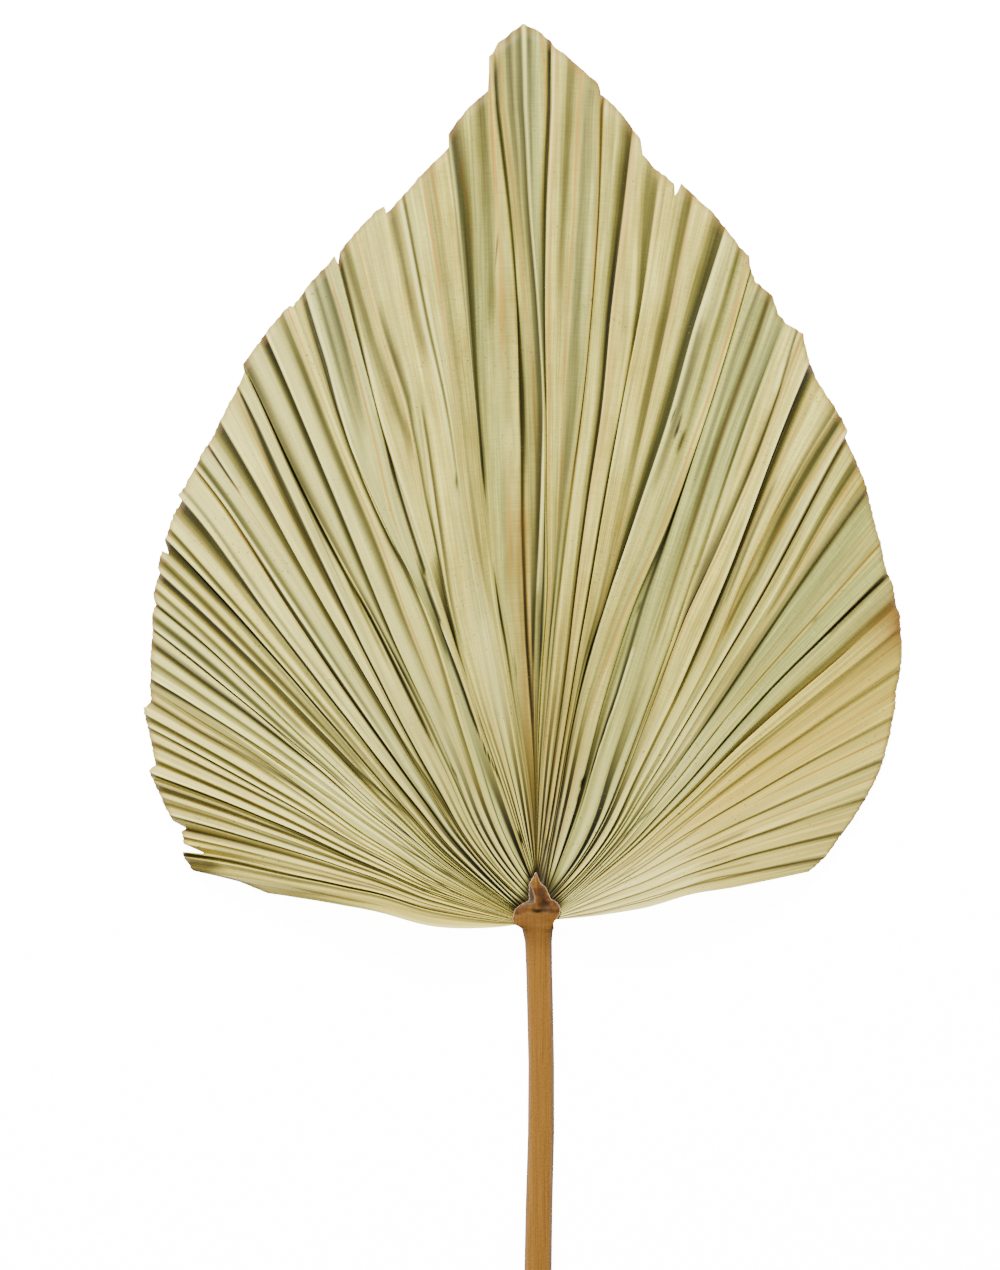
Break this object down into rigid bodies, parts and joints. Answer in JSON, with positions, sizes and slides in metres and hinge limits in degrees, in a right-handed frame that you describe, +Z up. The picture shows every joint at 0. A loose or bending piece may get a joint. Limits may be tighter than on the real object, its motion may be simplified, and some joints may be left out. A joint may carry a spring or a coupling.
{
  "type": "fan palm leaf",
  "caption": "Dried pleated fan palm leaf, trimmed to a spade outline, on a cut stalk, lying face up.",
  "frame": {"origin": "under the middle of the leaf's box, on the surface that it lies on", "axes": "+Y towards the leaf's tip, +Z up out of its face, +X to the right with the tip pointing away"},
  "size_m": [0.3038, 0.602, 0.0169],
  "materials": {
    "blade": "matte",
    "petiole": "satin"
  },
  "bodies": {
    "root": {"blade": "blade", "petiole": "petiole"}
  },
  "joints": []
}
